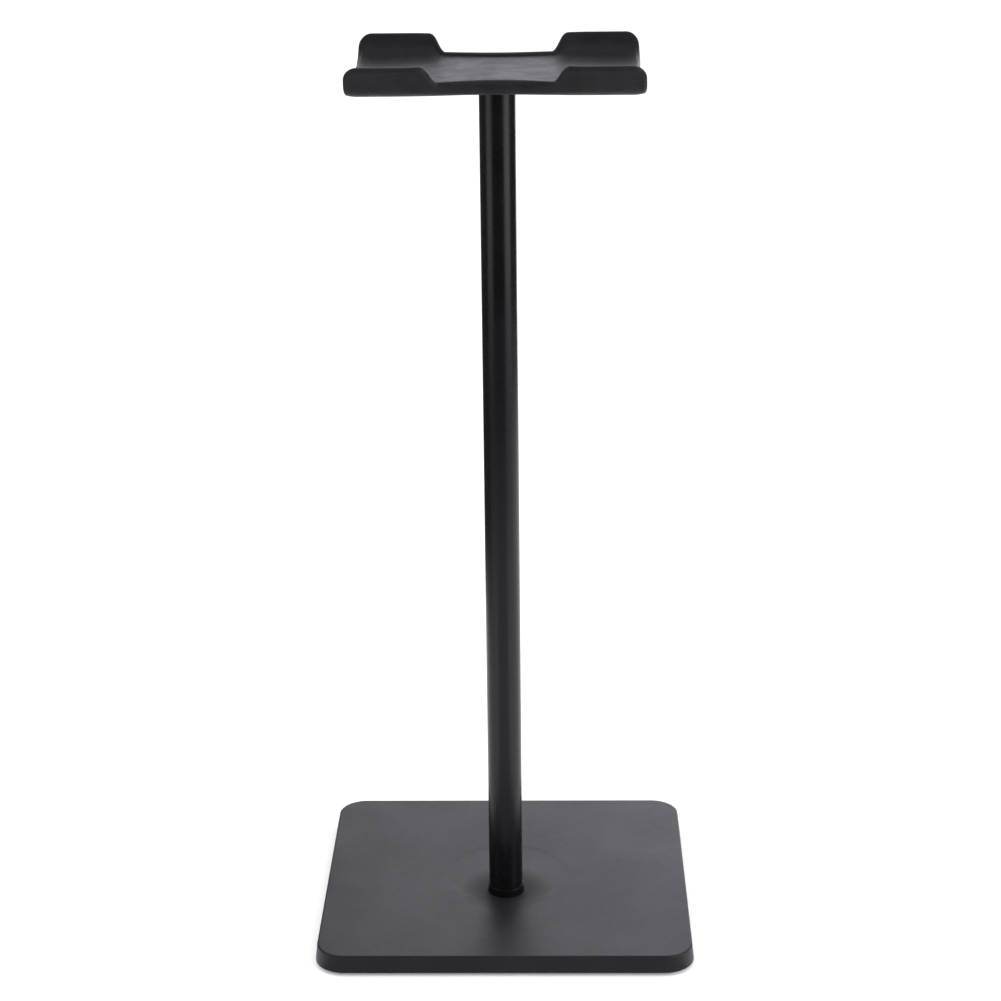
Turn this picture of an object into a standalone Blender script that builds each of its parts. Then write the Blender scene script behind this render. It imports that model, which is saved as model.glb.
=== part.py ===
"""Headphone stand: a weighted base, a round pole and a soft cradle, as separate pieces.

The origin is the centre of the rectangle that the base covers, at the underside of the feet.
+Z is up and +X runs along the cradle. The pole stands a little towards -Y.
"""
import math

import bmesh
import bpy

MM = 0.001
GAP = 0.3 * MM
"""Clearance between pieces that touch, rest on or pass through each other."""
SOFT_EDGE = 0.2 * MM
"""Chamfer of moulded and turned edges."""
FINE_EDGE = 0.1 * MM
"""Chamfer of screw heads and washers."""
MERGE_DISTANCE = 0.003 * MM
"""Points nearer to each other than this are one point."""

# Base
BASE_WIDTH = 110.0 * MM
BASE_DEPTH = 100.0 * MM
BASE_THICKNESS = 5.2 * MM
BASE_CORNER = 8.9 * MM
BASE_DRAFT = 0.6 * MM
BASE_EDGE = 0.5 * MM
BASE_WALL = 1.8 * MM
BASE_ROOF = 1.6 * MM
PAD_PROUD = 1.0 * MM
PAD_RADIUS = 6.0 * MM
PAD_SINK = 0.4 * MM
PAD_EDGE = 0.3 * MM
PAD_X = 43.0 * MM
PAD_Y = 38.0 * MM
FLOOR_THICKNESS = 1.2 * MM
FLOOR_LIFT = 0.1 * MM
FLOOR_MARGIN = 0.55 * MM
RIB_RADIUS = 18.0 * MM
RIB_WALL = 1.2 * MM
BOSS_X = 30.0 * MM
BOSS_Y = 38.0 * MM
BOSS_RADIUS = 3.0 * MM
BALLAST_MARGIN = 3.5 * MM
BALLAST_CLEARANCE = 0.6 * MM

# Pole
POLE_Y = -9.6 * MM
POLE_RADIUS = 5.0 * MM
POLE_WALL = 1.0 * MM
COLLAR_RADIUS = 5.3 * MM
COLLAR_HEIGHT = 2.4 * MM
COLLAR_SINK = 0.5 * MM
COLLAR_EDGE = 0.25 * MM
PLUG_LENGTH = 17.0 * MM
PLUG_RESERVE = 3.0 * MM
PLUG_EDGE = 0.5 * MM
STUD_FLANGE = 0.8 * MM
STUD_SPIGOT = 1.6 * MM
M5_CORE = 2.2 * MM
M5_TIP = 0.6 * MM

# Screws under the base
SELF_TAP_CORE = 1.0 * MM
SELF_TAP_HEAD = 2.3 * MM
SELF_TAP_LENGTH = 4.0 * MM
SELF_TAP_TIP = 0.8 * MM
SELF_TAP_POINT = 0.3 * MM
SELF_TAP_SINK = 0.05 * MM
CROSS_LENGTH = 2.6 * MM
CROSS_WIDTH = 0.6 * MM
CROSS_DEPTH = 0.7 * MM
WASHER_RADIUS = 6.5 * MM
WASHER_THICKNESS = 0.8 * MM
WASHER_PLAY = 0.4 * MM
M5_HEAD = 4.5 * MM
M5_HEAD_HEIGHT = 1.9 * MM
M5_HEAD_ROUND = 1.0 * MM
M5_SOCKET = 1.8 * MM
M5_SOCKET_DEPTH = 1.2 * MM
ACCESS_RADIUS = 7.3 * MM

# Cradle, measured up from its underside and out from the pole's axis
CRADLE_UNDERSIDE = 250.3 * MM
CRADLE_LENGTH = 78.6 * MM
FLANGE_HEIGHT = 8.6 * MM
FLANGE_CORNER = 3.5 * MM
FLANGE_FOOT = 25.2 * MM
FLANGE_LEAN = 0.70
SHEET_HALF = 0.9 * MM
LIP_HEIGHT = 3.85 * MM
LIP_CROWN = 0.3 * MM
LIP_BROADEN = 1.3 * MM
STEP_START = 14.8 * MM
STEP_WIDTH = 4.8 * MM
STEP_TOE = 0.52
STEP_SHOULDER = 0.32
WAIST_HALF = 25.0 * MM
WAIST_IN = 1.9 * MM
WAIST_LEAN = 0.56
SADDLE_FLOOR = 2.1 * MM
SADDLE_CROWN = 1.05 * MM
CROWN_HALF = 36.0 * MM
END_HOLLOW = 0.8 * MM
END_TUCK = 0.4 * MM
END_LIFT = 0.35 * MM
INNER_BLEND = 9.0 * MM
INNER_CLIMB = 4.0 * MM
OUTER_BLEND = 2.6 * MM
OUTER_CLIMB = 2.2 * MM
CLIMB_SHARE = 0.8
CORE_LENGTH = 48.0 * MM
CORE_DEPTH = 34.0 * MM
CORE_THICKNESS = 1.2 * MM
CORE_CORNER = 6.0 * MM

# Fineness of the round shapes
ROUND_STEPS = 40
SMALL_STEPS = 18
CORNER_STEPS = 6
LIP_STEPS = 5
RISE_STEPS = 8
FLANGE_STEPS = 4
FLOOR_STEPS = 3
BLEND_STEPS = 5
WALL_STEPS = 3
RIM_STEPS = 4

# Heights that follow from the sizes above
BASE_BOTTOM = PAD_PROUD
BASE_TOP = BASE_BOTTOM + BASE_THICKNESS
ROOF_UNDERSIDE = BASE_TOP - BASE_ROOF
FLOOR_BOTTOM = BASE_BOTTOM + FLOOR_LIFT
FLOOR_TOP = FLOOR_BOTTOM + FLOOR_THICKNESS
BOSS_BOTTOM = FLOOR_TOP + GAP
COLLAR_BOTTOM = BASE_TOP - COLLAR_SINK + GAP
COLLAR_TOP = COLLAR_BOTTOM + COLLAR_HEIGHT
TUBE_BOTTOM = COLLAR_TOP + GAP
TUBE_TOP = CRADLE_UNDERSIDE - GAP
PLUG_RADIUS = POLE_RADIUS - POLE_WALL - 2.0 * GAP
CORNER_START = CRADLE_LENGTH / 2 - FLANGE_CORNER
CORNER_RADIUS = FLANGE_CORNER - SHEET_HALF

# Colour, roughness and metallic value of each finish
FINISHES = {
    "base_plastic": ((0.040, 0.041, 0.044), 0.50, 0.0),
    "floor_plastic": ((0.022, 0.022, 0.023), 0.60, 0.0),
    "ballast_steel": ((0.45, 0.45, 0.44), 0.45, 1.0),
    "screw_steel": ((0.36, 0.36, 0.37), 0.35, 1.0),
    "foot_rubber": ((0.015, 0.015, 0.015), 0.85, 0.0),
    "pole_anodised": ((0.012, 0.012, 0.013), 0.30, 1.0),
    "collar_plastic": ((0.010, 0.010, 0.010), 0.55, 0.0),
    "plug_brass": ((0.62, 0.47, 0.20), 0.35, 1.0),
    "core_steel": ((0.05, 0.05, 0.05), 0.50, 0.6),
    "saddle_rubber": ((0.030, 0.030, 0.032), 0.55, 0.0),
}


def clear_scene():
    for old in list(bpy.data.objects):
        bpy.data.objects.remove(old, do_unlink=True)


def make_finishes():
    """One Principled material for each entry of FINISHES."""
    materials = {}
    for name, (colour, roughness, metallic) in FINISHES.items():
        material = bpy.data.materials.new(name)
        material.use_nodes = True
        shader = material.node_tree.nodes["Principled BSDF"]
        shader.inputs["Base Color"].default_value = (*colour, 1.0)
        shader.inputs["Roughness"].default_value = roughness
        shader.inputs["Metallic"].default_value = metallic
        material.diffuse_color = (*colour, 1.0)
        materials[name] = material
    return materials


def add_object(name, bm, material=None, smooth_degrees=35.0):
    """Turn a bmesh into an object with its faces pointing out and its round sides smooth."""
    bmesh.ops.recalc_face_normals(bm, faces=bm.faces)
    mesh = bpy.data.meshes.new(name)
    bm.to_mesh(mesh)
    bm.free()
    mesh.shade_smooth()
    mesh.set_sharp_from_angle(angle=math.radians(smooth_degrees))
    if material:
        mesh.materials.append(material)
    piece = bpy.data.objects.new(name, mesh)
    bpy.context.scene.collection.objects.link(piece)
    return piece


def combine(piece, name, bm, operation):
    """Cut a helper shape from a piece, or unite it with the piece."""
    helper = add_object(name, bm)
    helper.hide_render = True
    helper.display_type = "WIRE"
    boolean = piece.modifiers.new(name, "BOOLEAN")
    boolean.operation = operation
    boolean.solver = "EXACT"
    boolean.object = helper


def copies(first, names, spots):
    """Objects that share the finished mesh of the first one, each at its own spot."""
    scene_state = bpy.context.evaluated_depsgraph_get()
    finished = bpy.data.meshes.new_from_object(first.evaluated_get(scene_state))
    bpy.data.objects.remove(first, do_unlink=True)
    for name, spot in zip(names, spots):
        piece = bpy.data.objects.new(name, finished)
        piece.location = spot
        bpy.context.scene.collection.objects.link(piece)


def four_corners(x, y, z):
    return [(side_x * x, side_y * y, z) for side_y in (-1, 1) for side_x in (-1, 1)]


def add_turned(bm, profile, centre=(0.0, 0.0), steps=ROUND_STEPS, ring=False):
    """Spin (radius, height) points round a vertical axis; a ring's profile closes on itself."""
    verts = [bm.verts.new((centre[0] + radius, centre[1], height)) for radius, height in profile]
    links = list(zip(verts, verts[1:]))
    if ring:
        links.append((verts[-1], verts[0]))
    edges = [bm.edges.new(link) for link in links]
    bmesh.ops.spin(
        bm, geom=verts + edges, cent=(*centre, 0.0), axis=(0.0, 0.0, 1.0),
        angle=2.0 * math.pi, steps=steps, use_merge=True)
    bmesh.ops.remove_doubles(bm, verts=bm.verts, dist=MERGE_DISTANCE)


def add_cylinder(bm, radius, bottom, top, centre=(0.0, 0.0), steps=ROUND_STEPS):
    add_turned(bm, [(0.0, bottom), (radius, bottom), (radius, top), (0.0, top)], centre, steps)


def pipe_profile(inner, outer, bottom, top, chamfer):
    """Closed profile of a tube or washer whose outer edges are chamfered."""
    return [
        (inner, bottom),
        (outer - chamfer, bottom),
        (outer, bottom + chamfer),
        (outer, top - chamfer),
        (outer - chamfer, top),
        (inner, top),
    ]


def rounded_outline(half_x, half_y, radius):
    """Points of a rectangle with round corners, anticlockwise from +X."""
    points = []
    for quarter, (side_x, side_y) in enumerate(((1, 1), (-1, 1), (-1, -1), (1, -1))):
        for step in range(CORNER_STEPS + 1):
            angle = 0.5 * math.pi * (quarter + step / CORNER_STEPS)
            points.append((
                side_x * (half_x - radius) + radius * math.cos(angle),
                side_y * (half_y - radius) + radius * math.sin(angle)))
    return points


def add_stack(bm, half_x, half_y, radius, levels, centre=(0.0, 0.0)):
    """Join rounded rectangles at (inset, height) levels into one body, capped at both ends."""
    loops = []
    for inset, height in levels:
        outline = rounded_outline(half_x - inset, half_y - inset, radius - inset)
        loops.append([bm.verts.new((centre[0] + x, centre[1] + y, height)) for x, y in outline])
    for lower, upper in zip(loops, loops[1:]):
        for index, start in enumerate(lower):
            following = (index + 1) % len(lower)
            bm.faces.new((start, lower[following], upper[following], upper[index]))
    bm.faces.new(reversed(loops[0]))
    bm.faces.new(loops[-1])


def edge_round(radius, inset, top, steps=3):
    """(inset, height) levels that round the upper edge of a stack."""
    quarter = [0.5 * math.pi * step / steps for step in range(steps + 1)]
    return [
        (inset + radius * (1.0 - math.cos(angle)), top - radius * (1.0 - math.sin(angle)))
        for angle in quarter
    ]


# ---------------------------------------------------------------- base


def build_base_cover(material):
    """Moulded shell, open underneath, with a ring rib, four screw bosses and the pole's socket."""
    cavity = BASE_DRAFT + BASE_WALL
    levels = [
        (cavity, ROOF_UNDERSIDE),
        (BASE_WALL, BASE_BOTTOM),
        (SOFT_EDGE, BASE_BOTTOM),
        (0.0, BASE_BOTTOM + SOFT_EDGE),
    ]
    levels += edge_round(BASE_EDGE, BASE_DRAFT, BASE_TOP)
    bm = bmesh.new()
    add_stack(bm, BASE_WIDTH / 2, BASE_DEPTH / 2, BASE_CORNER, levels)
    cover = add_object("base_cover", bm, material)

    bm = bmesh.new()
    rooted = ROOF_UNDERSIDE + BASE_ROOF / 2
    rib = pipe_profile(
        RIB_RADIUS - RIB_WALL / 2, RIB_RADIUS + RIB_WALL / 2, BOSS_BOTTOM, rooted, SOFT_EDGE)
    add_turned(bm, rib, ring=True)
    for x, y, _ in four_corners(BOSS_X, BOSS_Y, 0.0):
        add_cylinder(bm, BOSS_RADIUS, BOSS_BOTTOM, rooted, (x, y), SMALL_STEPS)
    combine(cover, "shape_ribs", bm, "UNION")

    bm = bmesh.new()
    pilot = SELF_TAP_CORE + GAP
    for x, y, _ in four_corners(BOSS_X, BOSS_Y, 0.0):
        add_cylinder(bm, pilot, BOSS_BOTTOM - MM, BASE_TOP - BASE_ROOF / 2, (x, y), SMALL_STEPS)
    socket = COLLAR_RADIUS + GAP
    bolt_hole = M5_CORE + 2.0 * GAP
    socket_floor = BASE_TOP - COLLAR_SINK
    add_turned(bm, [
        (0.0, ROOF_UNDERSIDE - MM),
        (bolt_hole, ROOF_UNDERSIDE - MM),
        (bolt_hole, socket_floor),
        (socket, socket_floor),
        (socket, BASE_TOP + MM),
        (0.0, BASE_TOP + MM),
    ], (0.0, POLE_Y))
    combine(cover, "cut_holes", bm, "DIFFERENCE")


def build_ballast_plate(material):
    """Steel weight, holed round the ring rib and the screw bosses."""
    bottom = FLOOR_TOP + GAP
    top = ROOF_UNDERSIDE - GAP
    bm = bmesh.new()
    half_x = BASE_WIDTH / 2 - BALLAST_MARGIN
    half_y = BASE_DEPTH / 2 - BALLAST_MARGIN
    add_stack(bm, half_x, half_y, BASE_CORNER - BALLAST_MARGIN, [(0.0, bottom), (0.0, top)])
    plate = add_object("ballast_plate", bm, material)

    bm = bmesh.new()
    rib_hole = RIB_RADIUS + RIB_WALL / 2 + BALLAST_CLEARANCE
    boss_hole = BOSS_RADIUS + BALLAST_CLEARANCE
    add_cylinder(bm, rib_hole, bottom - MM, top + MM)
    for x, y, _ in four_corners(BOSS_X, BOSS_Y, 0.0):
        add_cylinder(bm, boss_hole, bottom - MM, top + MM, (x, y), SMALL_STEPS)
    combine(plate, "cut_ballast", bm, "DIFFERENCE")


def build_base_floor(material):
    """Closing plate with countersunk screw holes, pad recesses and an access hole."""
    bm = bmesh.new()
    inset = BASE_WALL + FLOOR_MARGIN
    add_stack(
        bm, BASE_WIDTH / 2, BASE_DEPTH / 2, BASE_CORNER,
        [(inset, FLOOR_BOTTOM), (inset, FLOOR_TOP)])
    plate = add_object("base_floor", bm, material)

    bm = bmesh.new()
    hole = SELF_TAP_CORE + GAP
    mouth = SELF_TAP_HEAD + GAP
    for x, y, _ in four_corners(BOSS_X, BOSS_Y, 0.0):
        add_turned(bm, [
            (0.0, FLOOR_BOTTOM - MM),
            (mouth, FLOOR_BOTTOM - MM),
            (mouth, FLOOR_BOTTOM),
            (hole, FLOOR_TOP),
            (hole, FLOOR_TOP + MM),
            (0.0, FLOOR_TOP + MM),
        ], (x, y), SMALL_STEPS)
    for x, y, _ in four_corners(PAD_X, PAD_Y, 0.0):
        add_cylinder(bm, PAD_RADIUS + GAP, FLOOR_BOTTOM - MM, FLOOR_BOTTOM + PAD_SINK, (x, y))
    add_cylinder(bm, ACCESS_RADIUS, FLOOR_BOTTOM - MM, FLOOR_TOP + MM, (0.0, POLE_Y))
    combine(plate, "cut_floor", bm, "DIFFERENCE")


def build_foot_pads(material):
    """Rubber discs stuck in the floor's recesses; the stand rests on them."""
    top = FLOOR_BOTTOM + PAD_SINK - GAP
    bm = bmesh.new()
    add_turned(bm, [
        (0.0, 0.0),
        (PAD_RADIUS - PAD_EDGE, 0.0),
        (PAD_RADIUS, PAD_EDGE),
        (PAD_RADIUS, top),
        (0.0, top),
    ])
    first = add_object("foot_pad", bm, material)
    names = [f"foot_pad_{number}" for number in (1, 2, 3, 4)]
    copies(first, names, four_corners(PAD_X, PAD_Y, 0.0))


def cross_outline(length, width):
    """Points of a plus sign, anticlockwise."""
    arm = [(length / 2, -width / 2), (length / 2, width / 2), (width / 2, width / 2)]
    points = []
    for turn in range(4):
        cosine = round(math.cos(0.5 * math.pi * turn))
        sine = round(math.sin(0.5 * math.pi * turn))
        points += [(x * cosine - y * sine, x * sine + y * cosine) for x, y in arm]
    return points


def build_base_screws(material):
    """Countersunk self-tapping screws with a cross recess, head down."""
    bm = bmesh.new()
    add_turned(bm, [
        (0.0, 0.0),
        (SELF_TAP_HEAD - FINE_EDGE, 0.0),
        (SELF_TAP_HEAD, FINE_EDGE),
        (SELF_TAP_CORE, FLOOR_THICKNESS),
        (SELF_TAP_CORE, SELF_TAP_LENGTH - SELF_TAP_TIP),
        (SELF_TAP_POINT, SELF_TAP_LENGTH),
        (0.0, SELF_TAP_LENGTH),
    ], steps=SMALL_STEPS)
    first = add_object("base_screw", bm, material)

    bm = bmesh.new()
    cross = cross_outline(CROSS_LENGTH, CROSS_WIDTH)
    base = bm.faces.new([bm.verts.new((x, y, -CROSS_DEPTH)) for x, y in cross])
    grown = bmesh.ops.extrude_face_region(bm, geom=[base])
    raised = [item for item in grown["geom"] if isinstance(item, bmesh.types.BMVert)]
    bmesh.ops.translate(bm, verts=raised, vec=(0.0, 0.0, 2.0 * CROSS_DEPTH))
    combine(first, "cut_cross", bm, "DIFFERENCE")
    names = [f"base_screw_{number}" for number in (1, 2, 3, 4)]
    copies(first, names, four_corners(BOSS_X, BOSS_Y, FLOOR_BOTTOM + SELF_TAP_SINK))


# ---------------------------------------------------------------- pole


def build_pole_screw(material):
    """Low-headed M5 screw with a hexagon socket, driven up from under the base."""
    head_top = ROOF_UNDERSIDE - WASHER_THICKNESS - 2.0 * GAP
    head_bottom = head_top - M5_HEAD_HEIGHT
    tip = TUBE_BOTTOM + PLUG_LENGTH - PLUG_RESERVE
    round_edge = []
    for angle in (0.5 * math.pi, 0.25 * math.pi, 0.0):
        radius = M5_HEAD - M5_HEAD_ROUND * (1.0 - math.cos(angle))
        round_edge.append((radius, head_bottom + M5_HEAD_ROUND * (1.0 - math.sin(angle))))
    bm = bmesh.new()
    add_turned(bm, [
        (0.0, head_bottom),
        *round_edge,
        (M5_HEAD, head_top),
        (M5_CORE, head_top),
        (M5_CORE, tip - M5_TIP),
        (M5_CORE - M5_TIP, tip),
        (0.0, tip),
    ], (0.0, POLE_Y), SMALL_STEPS)
    screw = add_object("pole_screw", bm, material)

    bm = bmesh.new()
    bmesh.ops.create_cone(
        bm, cap_ends=True, segments=6, radius1=M5_SOCKET, radius2=M5_SOCKET,
        depth=2.0 * M5_SOCKET_DEPTH)
    bmesh.ops.translate(bm, verts=bm.verts, vec=(0.0, POLE_Y, head_bottom))
    combine(screw, "cut_hexagon", bm, "DIFFERENCE")


def build_pole_washer(material):
    top = ROOF_UNDERSIDE - GAP
    bm = bmesh.new()
    profile = pipe_profile(
        M5_CORE + WASHER_PLAY, WASHER_RADIUS, top - WASHER_THICKNESS, top, FINE_EDGE)
    add_turned(bm, profile, (0.0, POLE_Y), ring=True)
    add_object("pole_washer", bm, material)


def build_foot_collar(material):
    """Seating ring between the pole and the base's socket."""
    bm = bmesh.new()
    profile = pipe_profile(
        M5_CORE + 2.0 * GAP, COLLAR_RADIUS, COLLAR_BOTTOM, COLLAR_TOP, COLLAR_EDGE)
    add_turned(bm, profile, (0.0, POLE_Y), ring=True)
    add_object("foot_collar", bm, material)


def build_pole_tube(material):
    bm = bmesh.new()
    profile = pipe_profile(
        POLE_RADIUS - POLE_WALL, POLE_RADIUS, TUBE_BOTTOM, TUBE_TOP, SOFT_EDGE)
    add_turned(bm, profile, (0.0, POLE_Y), ring=True)
    add_object("pole_tube", bm, material)


def build_pole_plugs(material):
    """Threaded plugs pressed into the two ends of the tube."""
    upper_top = TUBE_TOP - STUD_FLANGE - GAP
    spans = {
        "pole_bottom_plug": (TUBE_BOTTOM, TUBE_BOTTOM + PLUG_LENGTH),
        "pole_top_plug": (upper_top - PLUG_LENGTH, upper_top),
    }
    for name, (bottom, top) in spans.items():
        bm = bmesh.new()
        profile = pipe_profile(M5_CORE + GAP, PLUG_RADIUS, bottom, top, PLUG_EDGE)
        add_turned(bm, profile, (0.0, POLE_Y), SMALL_STEPS, ring=True)
        add_object(name, bm, material)


# ---------------------------------------------------------------- cradle


def build_cradle_stud(material):
    """Flanged stud under the core plate, screwed into the pole's upper plug."""
    flange_bottom = TUBE_TOP - STUD_FLANGE
    tip = flange_bottom - PLUG_LENGTH + PLUG_RESERVE
    bm = bmesh.new()
    add_turned(bm, [
        (0.0, tip),
        (M5_CORE - M5_TIP, tip),
        (M5_CORE, tip + M5_TIP),
        (M5_CORE, flange_bottom),
        (PLUG_RADIUS, flange_bottom),
        (PLUG_RADIUS, TUBE_TOP),
        (STUD_SPIGOT, TUBE_TOP),
        (STUD_SPIGOT, CRADLE_UNDERSIDE + CORE_THICKNESS),
        (0.0, CRADLE_UNDERSIDE + CORE_THICKNESS),
    ], (0.0, POLE_Y), SMALL_STEPS)
    add_object("cradle_stud", bm, material)


def build_cradle_core(material):
    """Stiff plate let into the underside of the soft saddle."""
    top = CRADLE_UNDERSIDE + CORE_THICKNESS
    bm = bmesh.new()
    add_stack(
        bm, CORE_LENGTH / 2, CORE_DEPTH / 2, CORE_CORNER,
        [(0.0, CRADLE_UNDERSIDE), (0.0, top)], (0.0, POLE_Y))
    core = add_object("cradle_core", bm, material)

    bm = bmesh.new()
    hole = STUD_SPIGOT + GAP
    add_cylinder(bm, hole, CRADLE_UNDERSIDE - MM, top + MM, (0.0, POLE_Y), SMALL_STEPS)
    combine(core, "cut_core", bm, "DIFFERENCE")


def ease_out(x, half):
    """1 at the cradle's middle, easing to 0 at a distance of half."""
    return math.cos(0.5 * math.pi * min(abs(x) / half, 1.0)) ** 2


def ease_step(x):
    """0 along the low lips and 1 along the flanges, with a rounded toe and shoulder."""
    steepness = 2.0 / (2.0 - STEP_TOE - STEP_SHOULDER)
    climb = min(max((abs(x) - STEP_START) / STEP_WIDTH, 0.0), 1.0)
    if climb < STEP_TOE:
        return steepness * climb ** 2 / (2.0 * STEP_TOE)
    if climb > 1.0 - STEP_SHOULDER:
        return 1.0 - steepness * (1.0 - climb) ** 2 / (2.0 * STEP_SHOULDER)
    return steepness * (climb - STEP_TOE / 2.0)


def edge_height(x):
    """Height at which the wall's flat sides end and its half-round rim begins."""
    lip = LIP_HEIGHT + LIP_CROWN * ease_out(x, WAIST_HALF)
    height = lip + (FLANGE_HEIGHT - lip) * ease_step(x) - SHEET_HALF
    past_corner = abs(x) - CORNER_START
    if past_corner > 0.0:
        drop = math.sqrt(max(CORNER_RADIUS ** 2 - past_corner ** 2, 0.0))
        height = FLANGE_HEIGHT - FLANGE_CORNER + drop
    return height


def curve_points(start, corner, end, steps):
    """Points of a quadratic curve, without its first one."""
    points = []
    for step in range(1, steps + 1):
        t = step / steps
        points.append(tuple(
            (1.0 - t) ** 2 * a + 2.0 * t * (1.0 - t) * b + t ** 2 * c
            for a, b, c in zip(start, corner, end)))
    return points


def half_section(x, inner):
    """(outward, height) points of the saddle's upper or lower surface, from middle to rim."""
    lean = FLANGE_LEAN - WAIST_LEAN * ease_out(x, WAIST_HALF)
    foot = FLANGE_FOOT - WAIST_IN * ease_out(x, WAIST_HALF)
    tilt = math.atan(lean)
    if inner:
        level = SADDLE_FLOOR + SADDLE_CROWN * ease_out(x, CROWN_HALF)
        blend, climb, side = INNER_BLEND, INNER_CLIMB, -SHEET_HALF
        broaden = LIP_BROADEN * ease_out(x, WAIST_HALF)
    else:
        level = END_LIFT * max((abs(x) - CORNER_START) / CORNER_RADIUS, 0.0) ** 2
        blend, climb, side = OUTER_BLEND, OUTER_CLIMB, SHEET_HALF
        broaden = 0.0

    edge = edge_height(x)
    middle = foot - SHEET_HALF / math.cos(tilt) + lean * edge
    top = (middle - broaden + side * math.cos(tilt), edge - side * math.sin(tilt))
    corner = (top[0] - lean * (top[1] - level), level)
    climb = min(climb, CLIMB_SHARE * (top[1] - level))
    wall_start = (corner[0] + lean * climb, level + climb)

    floor_end = corner[0] - blend
    points = [(floor_end * step / FLOOR_STEPS, level) for step in range(FLOOR_STEPS + 1)]
    points += curve_points(points[-1], corner, wall_start, BLEND_STEPS)
    for step in range(1, WALL_STEPS + 1):
        t = step / WALL_STEPS
        points.append(tuple(a + t * (b - a) for a, b in zip(wall_start, top)))
    return points


def saddle_stations():
    """Distances along the cradle at which its section is drawn, from middle to end."""
    step_end = STEP_START + STEP_WIDTH
    lip = [STEP_START * index / LIP_STEPS for index in range(LIP_STEPS)]
    rise = [STEP_START + STEP_WIDTH * index / RISE_STEPS for index in range(RISE_STEPS)]
    flange = [
        step_end + (CORNER_START - step_end) * index / FLANGE_STEPS
        for index in range(FLANGE_STEPS)
    ]
    corner = [
        CORNER_START + CORNER_RADIUS * math.sin(0.5 * math.pi * index / CORNER_STEPS)
        for index in range(CORNER_STEPS + 1)
    ]
    return lip + rise + flange + corner


def saddle_grid(inner):
    """Rows of points over one surface of the saddle, from end to end and rim to rim."""
    stations = saddle_stations()
    length = stations[-1]
    rows = []
    for x in [-x for x in reversed(stations[1:])] + stations:
        row = []
        for outward, height in half_section(x, inner):
            hollow = END_HOLLOW * ease_out(outward, FLANGE_FOOT)
            tuck = END_TUCK * max(height - SADDLE_FLOOR, 0.0) / (FLANGE_HEIGHT - SADDLE_FLOOR)
            row.append((x * (1.0 - (hollow + tuck) / length), outward, height))
        mirrored = [(along, -outward, height) for along, outward, height in reversed(row[1:])]
        rows.append(mirrored + row)
    return rows


def build_cradle_saddle(material):
    """Soft trough with four leaning flanges, low lips between them and a crowned floor."""
    bm = bmesh.new()
    sheets = []
    for inner in (True, False):
        sheets.append([
            [bm.verts.new((x, y + POLE_Y, z + CRADLE_UNDERSIDE)) for x, y, z in row]
            for row in saddle_grid(inner)
        ])
    for sheet in sheets:
        for row, following in zip(sheet, sheet[1:]):
            for index in range(len(row) - 1):
                bm.faces.new((row[index], row[index + 1], following[index + 1], following[index]))
    join_rims(bm, rim_loop(sheets[0]), rim_loop(sheets[1]))
    saddle = add_object("cradle_saddle", bm, material, 60.0)

    bm = bmesh.new()
    add_stack(
        bm, CORE_LENGTH / 2 + GAP, CORE_DEPTH / 2 + GAP, CORE_CORNER + GAP,
        [(0.0, CRADLE_UNDERSIDE - MM), (0.0, CRADLE_UNDERSIDE + CORE_THICKNESS + GAP)],
        (0.0, POLE_Y))
    combine(saddle, "cut_pocket", bm, "DIFFERENCE")


def rim_loop(sheet):
    """The vertices round the border of a grid, in order."""
    front = [row[0] for row in sheet]
    back = [row[-1] for row in reversed(sheet)]
    return front + sheet[-1][1:-1] + back + list(reversed(sheet[0][1:-1]))


def join_rims(bm, upper, lower):
    """Close the saddle's edge with a half-round strip between its two surfaces."""
    count = len(upper)
    spots = [((a.co + b.co) / 2, (a.co - b.co) / 2) for a, b in zip(upper, lower)]
    strips = [upper]
    for step in range(1, RIM_STEPS):
        angle = math.pi * step / RIM_STEPS
        strip = []
        for index, (middle, half) in enumerate(spots):
            tangent = spots[(index + 1) % count][0] - spots[index - 1][0]
            outward = tangent.cross(half).normalized() * min(half.length, SHEET_HALF)
            strip.append(bm.verts.new(
                middle + half * math.cos(angle) + outward * math.sin(angle)))
        strips.append(strip)
    strips.append(lower)
    for strip, following in zip(strips, strips[1:]):
        for index in range(count):
            ahead = (index + 1) % count
            bm.faces.new((strip[index], strip[ahead], following[ahead], following[index]))


def group_under_empty():
    """Hang every piece on one empty, so the stand moves as a whole."""
    pieces = list(bpy.context.scene.collection.objects)
    stand = bpy.data.objects.new("headphone_stand", None)
    bpy.context.scene.collection.objects.link(stand)
    for piece in pieces:
        piece.parent = stand


def build_stand():
    clear_scene()
    finish = make_finishes()
    build_base_cover(finish["base_plastic"])
    build_ballast_plate(finish["ballast_steel"])
    build_base_floor(finish["floor_plastic"])
    build_foot_pads(finish["foot_rubber"])
    build_base_screws(finish["screw_steel"])
    build_pole_screw(finish["screw_steel"])
    build_pole_washer(finish["screw_steel"])
    build_foot_collar(finish["collar_plastic"])
    build_pole_tube(finish["pole_anodised"])
    build_pole_plugs(finish["plug_brass"])
    build_cradle_stud(finish["screw_steel"])
    build_cradle_core(finish["core_steel"])
    build_cradle_saddle(finish["saddle_rubber"])
    group_under_empty()


build_stand()
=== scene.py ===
"""Headphone stand on a pale floor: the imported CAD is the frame, and fine pieces stand over it."""
import math

import bmesh
import bpy
from mathutils import Matrix, Vector


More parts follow.
